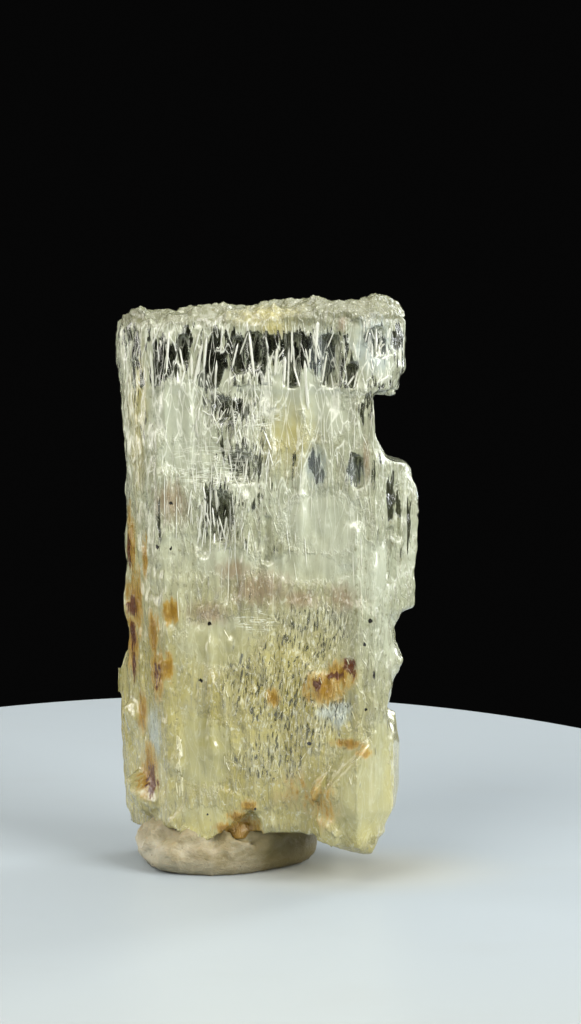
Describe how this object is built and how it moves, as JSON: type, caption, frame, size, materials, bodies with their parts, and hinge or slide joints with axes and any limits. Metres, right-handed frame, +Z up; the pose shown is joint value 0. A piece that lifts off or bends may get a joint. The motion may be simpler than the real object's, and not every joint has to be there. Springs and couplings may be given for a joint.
{
  "type": "goshenite crystal",
  "caption": "Flat prismatic goshenite crystal, clear beryl etched along its length, with a ragged crest and a broken foot, standing on an oval pad of display putty.",
  "frame": {"origin": "middle of the bounding box at its base, on the surface that the putty pad stands on", "axes": "+Z up along the length of the crystal, the broad etched face that is seen in front looks towards -Y, +X to the right"},
  "size_m": [0.0242, 0.0182, 0.0455],
  "materials": {
    "beryl": "clear to milky, etched with fine lengthwise striae, pale grey-green to cream, iron stained",
    "putty": "dull cream-white, pressed by hand"
  },
  "bodies": {
    "root": {"goshenite_crystal": "beryl", "putty_pad": "putty"}
  },
  "joints": []
}
